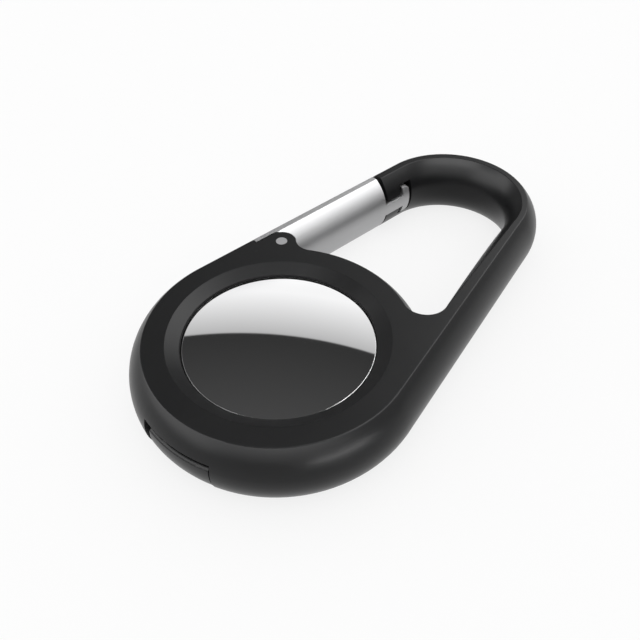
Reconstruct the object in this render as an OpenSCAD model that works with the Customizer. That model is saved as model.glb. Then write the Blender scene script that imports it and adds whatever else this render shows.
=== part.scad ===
// Tracker tag holder: a moulded teardrop body with a sprung metal gate, and the round tag that it holds.
// +Y runs from the tag towards the loop's end, +Z is up through the window, and the origin is the middle
// of the flat underside. Sizes are in millimetres.

/* [Body] */
// Height of the body between its two flat faces
body_h = 10; // [9.6:0.1:11]
// Radius of the flat face's outline round the tag
tag_end_r = 18; // [17.8:0.1:19]
// Radius of the flat face's outline at the loop's end
loop_end_r = 12.15; // [11.8:0.05:13]
// Distance from the tag's centre to the centre of the loop's end
loop_y = 41.4; // [40:0.2:46]
// How far the outer wall swells past the flat face's outline
wall_bulge = 2.2; // [1.6:0.1:2.4]
// Rounding of the long edges
edge_r = 0.25; // [0.1:0.05:0.3]

/* [Loop] */
// Inner radius of the loop's end at mid height
loop_inner_r = 8.95; // [8.8:0.05:9.1]
// How far the inner wall of the loop swells past its flat rim
inner_bulge = 2.15; // [1.9:0.05:2.3]
// Sideways shift of the loop's inner wall, which makes the arm the thinner side
loop_shift = 0.15; // [0:0.05:0.3]
// Width of the flat arm where it leaves the housing
arm_root_w = 1.6; // [1.4:0.1:2]
// Radius of the inside corner between the arm and the housing
arm_root_r = 3.2; // [2.6:0.1:3.6]

/* [Window] */
// Radius of the window over the tag's door
window_r = 13.1; // [13.05:0.05:13.4]
// Radius of the window's bevel at the top face
bevel_r = 14.97; // [14.5:0.1:15.6]
// Depth of the window's bevel
bevel_depth = 1.05; // [0.8:0.05:1.2]
// Depth of the tag's door edge below the top face
tag_drop = 1.4; // [1.3:0.02:1.6]

/* [Gate] */
// Distance along the edge from the tag's centre line to the gate's pivot end
gate_start = 9.75; // [9.4:0.05:10]
// Distance along the edge from the tag's centre line to the gate's free end
gate_end = 35; // [34:0.1:36]
// Width of the flat land along the gate
gate_land_w = 0.9; // [0.8:0.05:1.1]
// How far the gate's inner side swells past its land
gate_bulge = 2.78; // [2.4:0.02:2.8]
// Gap between the gate's free end and the nose
nose_gap = 0.75; // [0.7:0.05:1]
// Radius of the pivot pin
pin_r = 0.85; // [0.7:0.05:0.95]
// Distance of the pin from the tag's centre line, along the edge
pin_along = 12.82; // [12.6:0.02:13.2]
// Distance of the pin from the flat face's outline
pin_inset = 3.04; // [2.95:0.01:3.2]
// Thickness of the two ears that hold the pin
ear_t = 1.5; // [1.2:0.1:1.8]
// Radius of the ears round the pin
ear_r = 2.2; // [2.1:0.05:2.25]
// Radius of the inside corner between an ear and the housing
ear_root_r = 2.5; // [2:0.1:3]

/* [Latch] */
// Height of the tongue's stem
stem_h = 2.05; // [1.8:0.05:2.4]
// Height of the tongue's middle above the underside
latch_z = 5.05; // [4.8:0.05:5.3]
// Height of the tongue's cross bar
tee_h = 4.85; // [4.5:0.05:5.4]
// Width of the tongue's cross bar along the gate
tee_w = 1.4; // [1.3:0.05:1.8]
// Length of the whole tongue
tongue_len = 5.6; // [5.4:0.05:5.8]
// Depth of the tongue from the gate's inner face
tongue_depth = 2; // [1.6:0.1:2.2]

/* [Back ring] */
// Thickness of the ring
ring_t = 1.6; // [1.4:0.05:1.8]
// Radius of the ring's rim
ring_r = 17.1; // [16.9:0.05:17.2]
// Radius of the opening that shows the tag's dome
ring_open_r = 11; // [10:0.2:11.6]
// Height of the finger notch in the wall
notch_h = 7; // [6.4:0.1:7.2]
// Direction in which the finger notch starts
notch_from = 255.5; // [250:0.5:258]
// Angle that the finger notch takes up
notch_sweep = 32.5; // [28:0.5:36]
// Gap between the ring's fingernail lip and the top of the notch
lip_gap = 0.8; // [0.3:0.05:1]
// Thickness of the fingernail lip at its top
lip_t = 1.3; // [1.1:0.05:1.5]

/* [Tag] */
// Radius of the tag
tag_r = 15.95; // [15.9:0.01:16]
// Thickness of the tag
tag_t = 8; // [7.9:0.05:8.1]
// Radius of the tag's steel door
door_r = 12.9; // [12.8:0.02:12.94]
// How far the door swells at its middle
door_rise = 0.2; // [0.1:0.05:0.3]
// Radius of the dome's curve
dome_r = 60; // [56:1:66]
// Height of the tag's widest line above the top of the dome
waist_z = 4.72; // [4.6:0.02:4.8]
// Wall of the tag's shell
shell_wall = 0.85; // [0.7:0.05:0.9]
// Radius of the coin cell
cell_r = 10; // [9.9:0.05:10.1]
// Thickness of the coin cell
cell_t = 3.2; // [3.1:0.02:3.24]
// Thickness of the circuit board
board_t = 0.6; // [0.5:0.05:0.65]

/* [Hidden] */
$fn = 64;

// Overrun of every cut
over = 1;
// How far straight sides stay inside the round ends that they run into, so that the two cross
hair = 0.01;

// The outline's straight sides
edge_tilt = asin((tag_end_r - loop_end_r) / loop_y);
side_len = loop_y * cos(edge_tilt);
// The tag's centre, which puts the origin in the middle of the whole length
tag_y = -(loop_y + loop_end_r - tag_end_r) / 2;

// The loop's inner wall
rim_r = loop_inner_r + inner_bulge;
loop_across = loop_y * sin(edge_tilt);
shift_across = loop_shift * cos(edge_tilt);
left_wall_w = tag_end_r - loop_across + shift_across - loop_inner_r;
right_wall_w = tag_end_r - loop_across - shift_across - loop_inner_r;
right_rim_w = right_wall_w - inner_bulge;
// How far the plain face on the gate's side stays behind the swelling one
wall_step = 0.3;
// How deep the arm's plain face cuts into the swelling one at the loop's end, and where the cut runs out
face_cut = 0.25;
cut_end_turn = 25;
cut_end_r = loop_inner_r - 5 * hair;
// Where along the arm its root width is measured
arm_root_s = 16.6;
arm_run = side_len - arm_root_s;
rim_lean = atan((arm_root_w - right_rim_w) / arm_run);
wall_lean = atan((right_wall_w - face_cut - arm_root_w) / arm_run);
// The arm's plain inside face and its corner, in a frame turned along that face
wall_tilt = edge_tilt + wall_lean;
wall_off = (tag_end_r - arm_root_w) * cos(wall_lean) + arm_root_s * sin(wall_lean);
corner_off = wall_off - arm_root_r;
corner_s = sqrt(pow(tag_end_r + arm_root_r - 2 * hair, 2) - pow(corner_off, 2));

// The pin's place, and the ear's inside corner beside it
pin_off = tag_end_r - pin_inset;
pin_x = -pin_off * cos(edge_tilt) + pin_along * sin(edge_tilt);
pin_y = pin_off * sin(edge_tilt) + pin_along * cos(edge_tilt);
pin_far = norm([pin_x, pin_y]);
ear_reach = tag_end_r + ear_root_r - 2 * hair;
ear_span = ear_r + ear_root_r - 2 * hair;
ear_root_along = (pow(ear_reach, 2) - pow(ear_span, 2) + pow(pin_far, 2)) / (2 * pin_far);
ear_root_side = sqrt(pow(ear_reach, 2) - pow(ear_root_along, 2));

// Running gaps
pin_gap = 0.05;
gate_gap = 0.1;
ear_gap = 0.15;
slot_gap = 0.3;
gate_swing = 30;
swing_room = 8;
slot_r = ear_r + slot_gap;
knuckle_h = body_h - 2 * ear_t - 2 * gate_gap;
nose_start = gate_end + nose_gap;

// The tongue and its pocket
tee_end = gate_end + tongue_len;
tee_start = tee_end - tee_w;
tee_round = tee_w * 0.4;
tongue_gap = 0.3;
tee_gap = 0.5;
tee_end_gap = 0.9;
tongue_back = gate_land_w + gate_bulge - tongue_depth;

// The gate's spring
wire_r = 0.17;
coil_r = 1.3;
coil_pitch = 0.8;
coil_turns = 4;
coil_gap = 0.2;
spring_bore_r = coil_r + wire_r + coil_gap;
coil_h = coil_turns * coil_pitch;
coil_z = (body_h - coil_h) / 2;
spring_leg = 2.6;
wire_sides = 8;
ring_steps = 24;

// The tag's place and its curves
tag_base = body_h - tag_drop + door_rise - tag_t;
door_top = tag_base + tag_t;
door_edge_z = door_top - door_rise;
door_curve_r = (pow(door_r, 2) + pow(door_rise, 2)) / (2 * door_rise);
waist = tag_base + waist_z;
shell_lip = 0.18;
shell_top = door_edge_z - shell_lip;
shoulder_r = shell_top - waist;
shoulder_x = tag_r - shoulder_r;
dome_z = tag_base + dome_r;
dome_lift = dome_z - waist;
hip_r = (pow(dome_r, 2) - pow(dome_lift, 2) - pow(tag_r, 2)) / (2 * (dome_r - tag_r));
hip_x = tag_r - hip_r;
hip_reach = norm([hip_x, dome_lift]);
pocket_gap = 0.15;
pocket_r = tag_r + pocket_gap;

// The back ring's fit in the body, its notch and its lip
ring_gap = 0.1;
seat_r = ring_r + ring_gap;
bead_r = 0.2;
bead_count = 4;
bead_sweep = 24;
bead_turn = 18;
lip_from = notch_from + notch_sweep * 0.1;
lip_sweep = notch_sweep * 0.88;
lip_inset = 0.12;
lip_h = notch_h - lip_gap;
lip_round = lip_t * 0.49;
lip_r = tag_end_r + wall_bulge - lip_inset - lip_t;
notch_back_r = min(ring_r, lip_r - lip_t);
ring_bevel = 1.2;
ring_edge_t = 0.55;
dome_gap = 0.25;

// The door's bayonet
crown_steps = 8;
door_t = 0.4;
skirt_h = 1.5;
tab_reach = 0.6;
tab_t = 0.6;
tab_sweep = 18;
tab_count = 3;
tab_turn = 40;
tab_top = door_edge_z - skirt_h + tab_t;
twist = 20;
entry_gap = 0.12;
entry_spare = 1.5;
mouth_gap = 0.08;
mouth_r = door_r + mouth_gap;

// Inside the tag, from the door down to the dome
cell_gap = 0.12;
cell_top = door_edge_z - door_t - cell_gap;
cell_base = cell_top - cell_t;
can_t = 0.25;
cap_r = cell_r * 0.89;
rim_lift = 0.15;
cap_step = 0.45;
gasket_t = 0.35;
contact_t = 0.15;
contact_w = 1.6;
contact_len = 3.4;
contact_sweep = 14;
tray_t = 0.4;
tray_base = cell_base - contact_t - tray_t;
tray_floor = tray_base + tray_t;
tray_h = 2.4;
tray_r = cell_r + contact_t;
tray_wall = 1.2;
tray_out_r = tray_r + tray_wall;
ledge_r = 13.4;
cavity_r = 14.15;
tray_gap = 0.05;
tray_foot_r = cavity_r - tray_gap;
board_z = tray_base - board_t;
board_r = 13.1;
board_hole_r = 5.9;
cup_r = 5.5;
cup_wall = 0.6;
cup_h = 1.9;
magnet_r = 3.3;
magnet_h = 1.3;
coil_in_r = 3.75;
coil_out_r = 4.45;
sound_coil_h = 1.3;
loop_in_r = 6.2;
loop_out_r = 8;
land_spare = 0.2;
// How far each flat land stands above the dome's inner face at the land's outer edge
sound_land_step = 0.22;
loop_land_step = 0.04;
coil_land_z = dome_inside_z(coil_out_r + land_spare) + sound_land_step;
loop_land_z = dome_inside_z(loop_out_r + land_spare) + loop_land_step;
film_t = 0.12;
film_h = 1.7;
chip_t = 0.85;
sensor_t = 0.7;

// Where the parts sit on the board: direction and distance from the centre, then their two sides
radio_place = [35, 9.2];
radio_size = [3.6, 4.2];
ranging_place = [150, 9.1];
ranging_size = [4, 5.2];
memory_place = [262, 8.8];
memory_size = [2.2, 2.6];
sensor_place = [305, 8.6];
sensor_size = [2, 2];
crystal_place = [82, 8.8];
crystal_size = [1.5, 2.4];
capacitor_size = [1.5, 0.8];
capacitor_dist = 8.6;
capacitor_turns = [195, 210, 225, 338, 352];

// Turns a plane shape drawn in width and height into a bar that runs along Y
module along_y(from, to) {
  translate([0, to, 0]) rotate([90, 0, 0]) linear_extrude(to - from) children();
}

// Puts its children in the frame of the gate's side: X inwards from the outline, Y along it
module gate_side() {
  rotate([0, 0, -edge_tilt]) translate([-tag_end_r, 0, 0]) children();
}

module at_tag() {
  translate([0, tag_y, 0]) children();
}

// Height of the dome's inner face at a distance from its middle
function dome_inside_z(dist) = tag_base + shell_wall + dome_r - sqrt(pow(dome_r, 2) - pow(dist, 2));

function swell_r(swell) = (pow(swell, 2) + pow(body_h / 2, 2)) / (2 * swell);

// Half of a bar's section: a flat top and bottom that end at zero, and a side that swells past it.
// With a spare height the flats stand that much above and below the body
module swell_section(swell, reach, spare = 0) {
  arc = swell_r(swell);
  mid = body_h / 2;
  centre = swell - arc;
  rise = mid + spare - edge_r;
  flat_end = centre + sqrt(pow(arc - edge_r, 2) - pow(rise, 2));
  start = max(centre, -reach);
  wide = 4 * (flat_end - centre);
  half = 4 * rise * (start - centre) / wide;
  translate([-reach, -spare]) square([reach + flat_end, body_h + 2 * spare]);
  for (side = [-1, 1]) {
    translate([flat_end, mid + side * rise]) circle(edge_r, $fn = 16);
  }
  intersection() {
    translate([centre, mid]) circle(arc);
    polygon([
      [start, mid - half], [centre + wide, mid - 4 * rise],
      [centre + wide, mid + 4 * rise], [start, mid + half]
    ]);
  }
}

// What lies inside the swelling inner wall of the loop, drawn out from its centre
module loop_void_section(shrink) {
  difference() {
    translate([0, -over]) square([rim_r + edge_r, body_h + 2 * over]);
    translate([rim_r - shrink, 0]) mirror([1, 0]) swell_section(inner_bulge, inner_bulge, hair);
  }
}

module solid_teardrop() {
  rotate_extrude() translate([tag_end_r, 0]) swell_section(wall_bulge, tag_end_r);
  translate([0, loop_y, 0]) rotate_extrude() {
    translate([loop_end_r, 0]) swell_section(wall_bulge, loop_end_r);
  }
  for (side = [0, 1]) mirror([side, 0, 0]) rotate([0, 0, edge_tilt]) along_y(0, side_len) {
    translate([tag_end_r - hair, 0]) swell_section(wall_bulge, tag_end_r);
  }
}

function turn(p, a) = [p.x * cos(a) - p.y * sin(a), p.x * sin(a) + p.y * cos(a)];

// The plain part of the hole in the loop, seen from above
module hole_plan() {
  corner = turn([corner_off, corner_s], wall_tilt);
  corner_foot = turn([wall_off - hair, corner_s], wall_tilt);
  arm_top_s = (loop_y - wall_off * sin(wall_tilt)) / cos(wall_tilt);
  arm_top = turn([wall_off - hair, arm_top_s], wall_tilt);
  gate_off = -(tag_end_r - left_wall_w - wall_step);
  gate_top_s = (loop_y + gate_off * sin(edge_tilt)) / cos(edge_tilt);
  gate_top = turn([gate_off, gate_top_s], -edge_tilt);
  gate_low = turn([gate_off, gate_start], -edge_tilt);
  arm_end = [loop_shift + cut_end_r * cos(cut_end_turn), loop_y + cut_end_r * sin(cut_end_turn)];
  polygon([corner, [0, 0], gate_low, gate_top, arm_end, arm_top, corner_foot]);
  // The inside corner, from the arm's face round to the housing
  translate(corner) circle(arm_root_r);
}

// The whole hole in the loop, with the gate's bay open to the side
module loop_hole() {
  translate([0, 0, -over]) linear_extrude(body_h + 2 * over) hole_plan();
  translate([loop_shift, loop_y, 0]) {
    rotate_extrude() loop_void_section(0);
    rotate([0, 0, edge_tilt - rim_lean]) along_y(-arm_run, 0) loop_void_section(hair);
    rotate([0, 0, -edge_tilt]) along_y(nose_start - side_len - over, 0) {
      mirror([1, 0]) loop_void_section(hair);
    }
  }
  gate_side() translate([-wall_bulge - over, gate_start, -over]) {
    cube([wall_bulge + over + left_wall_w + 2 * wall_step, nose_start - gate_start, body_h + 2 * over]);
  }
}

// The ears' outline round the pin, with its run back to the wall and its inside corner
module ear_plan() {
  ear_root = turn([ear_root_along, -ear_root_side], atan2(pin_y, pin_x));
  near_edge = -(pin_off + ear_r - hair);
  back = turn([near_edge, gate_start - over], -edge_tilt);
  front = turn([near_edge, pin_along], -edge_tilt);
  translate([pin_x, pin_y]) circle(ear_r);
  polygon([[0, 0], back, front, [pin_x, pin_y]]);
  difference() {
    polygon([[0, 0], [pin_x, pin_y], ear_root]);
    translate(ear_root) circle(ear_root_r);
  }
}

// The round housing, as the hole in the loop leaves it standing, grown sideways by a gap
module housing_keep(grow = 0) {
  rotate_extrude() translate([tag_end_r + grow, 0]) swell_section(wall_bulge, tag_end_r + grow);
}

// The room between the ears for the gate's knuckle and for the foot of its spring
module knuckle_slot() {
  half = slot_r - hair;
  translate([0, 0, ear_t]) linear_extrude(body_h - 2 * ear_t) {
    translate([pin_x, pin_y]) circle(slot_r);
    gate_side() translate([-wall_bulge - over, pin_along - half]) {
      square([wall_bulge + over + pin_inset, 2 * half]);
    }
    // The shallow flat in the housing's wall that lets the gate swing in
    translate([pin_x, pin_y]) rotate(-edge_tilt - gate_swing) translate([-pin_inset, 0]) {
      square([gate_land_w + gate_bulge + slot_gap, swing_room]);
    }
  }
}

// The T-shaped pocket in the nose, open towards the inside of the loop
module latch_pocket() {
  gate_side() translate([tongue_back - tongue_gap, 0, 0]) {
    translate([0, nose_start - over, latch_z - stem_h / 2 - tongue_gap]) {
      cube([tongue_depth + 2 * over, tee_start - nose_start + 2 * over, stem_h + 2 * tongue_gap]);
    }
    translate([0, tee_start - tongue_gap, latch_z - tee_h / 2 - tee_gap]) {
      cube([tongue_depth + 2 * over, tee_w + tongue_gap + tee_end_gap, tee_h + 2 * tee_gap]);
    }
  }
}

// The tag's outline in section, grown on all sides by a gap
module tag_section(grow) {
  hip_side = [hip_x, -dome_lift] * (2 * dome_r / hip_reach);
  intersection() {
    translate([0, dome_z]) circle(dome_r + grow, $fn = 240);
    polygon([[0, dome_z], [0, dome_z] + hip_side, [0, -dome_r]]);
    translate([0, tag_base - over]) square([tag_r + grow, waist - tag_base + over]);
  }
  intersection() {
    translate([hip_x, waist]) circle(hip_r + grow);
    translate([0, tag_base - over]) square([tag_r + grow, waist - tag_base + over]);
  }
  translate([0, waist - hip_r / 2]) square([hip_x, hip_r / 2]);
  intersection() {
    translate([shoulder_x, waist]) circle(shoulder_r + grow);
    translate([shoulder_x, waist]) square([tag_r, tag_r]);
  }
  translate([0, waist]) square([shoulder_x, shoulder_r + grow]);
}

// What the tag needs inside the housing, with the window above it and the ring's seat below it
module housing_bore() {
  rotate_extrude() {
    translate([0, -over]) square([pocket_r, waist + over]);
    translate([0, waist]) square([shoulder_x, shoulder_r + pocket_gap]);
    intersection() {
      translate([shoulder_x, waist]) circle(shoulder_r + pocket_gap);
      translate([shoulder_x, waist]) square([tag_r, tag_r]);
    }
    translate([0, waist]) square([window_r, body_h + over - waist]);
    polygon([
      [0, body_h - bevel_depth], [window_r, body_h - bevel_depth], [bevel_r, body_h],
      [bevel_r, body_h + over], [0, body_h + over]
    ]);
  }
  translate([0, 0, -over]) cylinder(h = ring_t + ring_gap + over, r = seat_r);
}

// The finger notch in the wall's lower edge
module finger_notch() {
  rotate([0, 0, notch_from]) rotate_extrude(angle = notch_sweep) {
    translate([notch_back_r, -over]) square([tag_end_r, notch_h + over]);
  }
}

// The groove that takes the ring's snap beads
module bead_groove() {
  rotate_extrude() translate([seat_r, ring_t / 2]) circle(bead_r, $fn = 16);
}

// The hole for the spring's fixed leg
module spring_leg_hole() {
  spring_frame() translate([coil_r, 0, coil_z + coil_h]) rotate([90, 0, 0]) {
    cylinder(h = spring_leg + slot_gap, r = 2 * wire_r);
  }
}

module body_frame() {
  color("#26272a") at_tag() difference() {
    solid_teardrop();
    difference() {
      loop_hole();
      housing_keep();
      translate([0, 0, -over]) linear_extrude(body_h + 2 * over) ear_plan();
    }
    knuckle_slot();
    latch_pocket();
    housing_bore();
    finger_notch();
    bead_groove();
    translate([pin_x, pin_y, -over]) cylinder(h = body_h + 2 * over, r = pin_r);
    spring_leg_hole();
  }
}

// The ring's section: flat underside, bevelled opening, and a top that follows the dome
module ring_section() {
  difference() {
    polygon([
      [ring_open_r, ring_edge_t], [ring_open_r + ring_bevel, 0], [ring_r, 0],
      [ring_r, ring_t], [ring_open_r, ring_t]
    ]);
    translate([0, dome_z]) circle(dome_r + dome_gap, $fn = 240);
  }
}

// The fingernail lip in section: a foot that leaves the ring and an upright that follows the wall
module lip_section() {
  intersection() {
    translate([tag_end_r - lip_inset, 0]) swell_section(wall_bulge, tag_end_r);
    union() {
      translate([ring_r - ring_gap, 0]) square([tag_end_r, ring_t]);
      polygon([
        [lip_r - lip_t, ring_t], [tag_end_r + wall_bulge, ring_t],
        [tag_end_r + wall_bulge, ring_t + 2 * lip_t], [lip_r, ring_t + 2 * lip_t]
      ]);
      translate([lip_r, 0]) square([tag_end_r, lip_h - lip_round]);
      translate([lip_r + lip_round, lip_h - lip_round]) circle(lip_round, $fn = 24);
      translate([lip_r + lip_round, 0]) square([lip_t - 2 * lip_round, lip_h]);
      translate([lip_r + lip_t - lip_round, lip_h - lip_round]) circle(lip_round, $fn = 24);
    }
  }
}

module back_ring() {
  color("#26272a") at_tag() {
    rotate_extrude() ring_section();
    for (i = [0 : bead_count - 1]) {
      rotate([0, 0, bead_turn + i * 360 / bead_count]) rotate_extrude(angle = bead_sweep) {
        translate([ring_r - bead_r + ring_gap / 2, ring_t / 2]) circle(bead_r, $fn = 16);
      }
    }
    rotate([0, 0, lip_from]) rotate_extrude(angle = lip_sweep) lip_section();
  }
}

// The gate's full section, swollen towards both sides
module gate_section() {
  translate([gate_land_w, 0]) swell_section(gate_bulge, gate_land_w / 2);
  mirror([1, 0]) swell_section(wall_bulge, gate_land_w / 2);
}

// The tongue's outline, seen from inside the loop
module tongue_plan() {
  translate([gate_end - over, latch_z - stem_h / 2]) square([tee_start - gate_end + 2 * over, stem_h]);
  translate([tee_start, latch_z - tee_h / 2]) square([tee_w - tee_round, tee_h]);
  translate([tee_end - tee_round, latch_z - tee_h / 2 + tee_round]) {
    square([tee_round, tee_h - 2 * tee_round]);
  }
  for (side = [-1, 1]) {
    translate([tee_end - tee_round, latch_z + side * (tee_h / 2 - tee_round)]) circle(tee_round, $fn = 24);
  }
}

// Puts its children at the pin, with X pointing from the pin towards the tag's centre
module spring_frame() {
  translate([pin_x, pin_y, 0]) rotate([0, 0, atan2(-pin_y, -pin_x)]) children();
}

// The room that the gate leaves for one ear, round the pin and back past its end
module ear_room() {
  translate([pin_x, pin_y, 0]) cylinder(h = ear_t + gate_gap + over, r = ear_r + ear_gap);
  gate_side() translate([pin_inset - ear_r - ear_gap, gate_start - over, 0]) {
    cube([tag_end_r, pin_along - gate_start + over, ear_t + gate_gap + over]);
  }
}

// The spring's bore in the knuckle, and the side window that its fixed leg swings in
module spring_room() {
  translate([pin_x, pin_y, coil_z - coil_pitch]) cylinder(h = coil_h + 2 * coil_pitch, r = spring_bore_r);
  spring_frame() translate([0, -slot_r, coil_z + coil_h - coil_pitch]) {
    cube([slot_r, slot_r, 2 * coil_pitch]);
  }
  gate_side() translate([pin_inset + coil_r - 2 * wire_r, pin_along, coil_z - 2 * wire_r]) {
    cube([4 * wire_r, spring_leg + slot_gap, 4 * wire_r]);
  }
}

module gate() {
  color("#c4c6c8") at_tag() difference() {
    union() {
      gate_side() intersection() {
        along_y(gate_start + gate_gap, gate_end) gate_section();
        union() {
          translate([-tag_end_r, 0, 0]) cube([tag_end_r + gate_land_w, gate_end, body_h]);
          translate([0, pin_along, 0]) cube([tag_end_r, gate_end, body_h]);
        }
      }
      translate([pin_x, pin_y, ear_t + gate_gap]) cylinder(h = knuckle_h, r = ear_r);
      gate_side() translate([gate_land_w / 2, pin_along - ear_r, ear_t + gate_gap]) {
        cube([pin_inset - gate_land_w / 2, ear_r, knuckle_h]);
      }
      gate_side() intersection() {
        along_y(gate_end - over, tee_end) gate_section();
        translate([tongue_back, 0, 0]) rotate([90, 0, 90]) linear_extrude(2 * tongue_depth) tongue_plan();
      }
    }
    translate([0, 0, -over]) ear_room();
    translate([0, 0, body_h - ear_t - gate_gap]) ear_room();
    translate([pin_x, pin_y, -over]) cylinder(h = body_h + 2 * over, r = pin_r + pin_gap);
    spring_room();
    housing_keep(ear_gap);
    // The plate is thinner below the knuckle, where it passes the ears' foot
    gate_side() translate([pin_inset - ear_r - ear_gap, gate_start - over, -over]) {
      cube([tag_end_r, pin_along - slot_r - gate_start + over, body_h + 2 * over]);
    }
  }
}

module gate_pin() {
  color("#a3a5a7") at_tag() translate([pin_x, pin_y, 0]) cylinder(h = body_h, r = pin_r);
}

// The spring's wire: a leg on the gate, the turns up round the pin, and a leg in the body
module gate_spring() {
  // Turned so that the first leg runs along the gate and the last one points into the body
  gate_way = 90 - edge_tilt;
  start = gate_way - 90;
  lag = start - atan2(-pin_y, -pin_x);
  turns = 360 * (coil_turns - 1) + lag - 360 * floor(lag / 360);
  steps = ring_steps * coil_turns;
  coil = [for (i = [0 : steps]) let (a = start - i * turns / steps)
    [coil_r * cos(a), coil_r * sin(a), i * coil_h / steps]];
  leg_in = [coil_r * cos(start), coil_r * sin(start), 0] + spring_leg * [cos(gate_way), sin(gate_way), 0];
  last = start - turns;
  leg_out = coil[steps] + spring_leg * [sin(last), -cos(last), 0];
  path = concat([leg_in], coil, [leg_out]);
  color("#8f9194") at_tag() translate([pin_x, pin_y, coil_z]) wire(path, wire_r, wire_sides);
}

// A round wire along a path that never runs straight up
module wire(path, radius, sides) {
  count = len(path);
  rings = [for (i = [0 : count - 1])
    let (ahead = path[min(i + 1, count - 1)] - path[max(i - 1, 0)])
    let (side = [ahead.y, -ahead.x, 0] / norm([ahead.x, ahead.y]))
    let (up = cross(side, ahead / norm(ahead)))
    for (k = [0 : sides - 1]) path[i] + radius * (cos(360 * k / sides) * side + sin(360 * k / sides) * up)];
  walls = [for (i = [0 : count - 2]) for (k = [0 : sides - 1])
    let (a = i * sides + k, b = i * sides + (k + 1) % sides)
    for (face = [[a, b, a + sides], [b, b + sides, a + sides]]) face];
  first = [for (k = [1 : sides - 2]) [0, k + 1, k]];
  end = (count - 1) * sides;
  last = [for (k = [1 : sides - 2]) [end, end + k, end + k + 1]];
  polyhedron(rings, concat(first, walls, last));
}

// The shell's cavity: wide under the door's lip, with a ledge that carries the inner frame
module shell_cavity() {
  intersection() {
    tag_section(-shell_wall);
    translate([0, tag_base]) square([ledge_r, tray_base - tag_base]);
  }
  translate([0, tray_base]) square([cavity_r, tab_top - tray_base]);
  translate([0, tray_base]) square([mouth_r, tag_t]);
}

module tag_shell() {
  color("#f2f2f0") at_tag() {
    difference() {
      rotate_extrude() intersection() {
        tag_section(0);
        translate([0, tag_base - over]) square([tag_r, shell_top - tag_base + over]);
      }
      rotate_extrude() shell_cavity();
      for (i = [0 : tab_count - 1]) {
        rotate([0, 0, tab_turn + twist - entry_spare + i * 360 / tab_count]) {
          rotate_extrude(angle = tab_sweep + 2 * entry_spare) {
            translate([door_r - tab_reach, tab_top - tab_t]) square([2 * tab_reach + entry_gap, tag_t]);
          }
        }
      }
    }
    // The two flat lands in the dome, under the sounder's coil and under the reading coil
    rotate_extrude() {
      land(coil_in_r - land_spare, coil_out_r + land_spare, coil_land_z);
      land(loop_in_r - land_spare, loop_out_r + land_spare, loop_land_z);
    }
  }
}

// A raised flat ring in the dome, in section
module land(inner, outer, top) {
  difference() {
    translate([inner, tag_base]) square([outer - inner, top - tag_base]);
    translate([inner, tag_base]) difference() {
      square([outer, shell_wall]);
      translate([-inner, dome_z - tag_base]) circle(dome_r - shell_wall / 2, $fn = 240);
    }
  }
}

// A point on the door's crown, from the middle at 0 to the edge at 1
function crown(share) =
  [share * door_r, door_top - door_curve_r + sqrt(pow(door_curve_r, 2) - pow(share * door_r, 2))];

module battery_door() {
  color("#d4d6d8") at_tag() {
    rotate_extrude() {
      // The slightly domed steel sheet, and its skirt
      polygon(concat(
        [[0, door_edge_z - door_t]], [for (i = [crown_steps : -1 : 0]) crown(i / crown_steps)]
      ));
      translate([0, door_edge_z - door_t]) square([door_r, door_t]);
      translate([door_r - door_t, door_edge_z - skirt_h]) square([door_t, skirt_h - door_t / 2]);
    }
    for (i = [0 : tab_count - 1]) {
      rotate([0, 0, tab_turn + i * 360 / tab_count]) rotate_extrude(angle = tab_sweep) {
        translate([door_r - door_t, tab_top - tab_t]) square([door_t + tab_reach, tab_t]);
      }
    }
  }
}

// The moulded carrier: a foot on the shell's ledge and a wall round the cell
module inner_frame() {
  color("#e3e3e0") at_tag() difference() {
    union() {
      translate([0, 0, tray_base]) cylinder(h = tray_t, r = tray_foot_r);
      translate([0, 0, tray_base]) cylinder(h = tray_h, r = tray_out_r);
    }
    translate([0, 0, tray_floor]) cylinder(h = tray_h, r = tray_r);
  }
}

module cell_can() {
  color("#b9bbbd") at_tag() rotate_extrude() difference() {
    translate([0, cell_base + rim_lift]) square([cell_r, cell_t - rim_lift]);
    translate([0, cell_base]) square([cell_r - can_t, cell_t - can_t]);
  }
}

module cell_cap() {
  color("#a9abad") at_tag() rotate_extrude() {
    translate([0, cell_base]) square([cap_r, cap_step]);
    translate([0, cell_base + cap_step]) square([cell_r - can_t - gasket_t, cell_t - can_t - cap_step]);
  }
}

module cell_gasket() {
  color("#3f4042") at_tag() rotate_extrude() {
    translate([cap_r, cell_base + rim_lift]) square([cell_r - can_t - cap_r, cap_step - rim_lift]);
    translate([cell_r - can_t - gasket_t, cell_base + cap_step]) {
      square([gasket_t, cell_t - can_t - cap_step]);
    }
  }
}

module side_contacts() {
  color("#c9b46a") at_tag() for (i = [0, 1]) {
    rotate([0, 0, 180 * i]) rotate_extrude(angle = contact_sweep) {
      translate([cell_r, tray_floor]) square([contact_t, tray_h - 2 * tray_t]);
    }
  }
}

// Three flat fingers under the middle of the cell
module centre_contact() {
  color("#c9b46a") at_tag() translate([0, 0, tray_floor]) linear_extrude(contact_t) {
    circle(contact_w);
    for (i = [0 : tab_count - 1]) rotate(i * 360 / tab_count) {
      translate([0, -contact_w / 2]) square([contact_len, contact_w]);
    }
  }
}

module circuit_board() {
  color("#1f5a3c") at_tag() translate([0, 0, board_z]) difference() {
    cylinder(h = board_t, r = board_r);
    translate([0, 0, -over]) cylinder(h = board_t + 2 * over, r = board_hole_r);
  }
}

// A block that hangs under the board
module on_board(place, size, height) {
  at_tag() rotate([0, 0, place.x]) translate([place.y - size.x / 2, -size.y / 2, board_z - height]) {
    cube([size.x, size.y, height]);
  }
}

module radio_chip() {
  color("#2b2b2e") on_board(radio_place, radio_size, chip_t);
}

module ranging_module() {
  color("#8d9094") on_board(ranging_place, ranging_size, chip_t);
}

module memory_chip() {
  color("#2b2b2e") on_board(memory_place, memory_size, chip_t);
}

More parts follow.
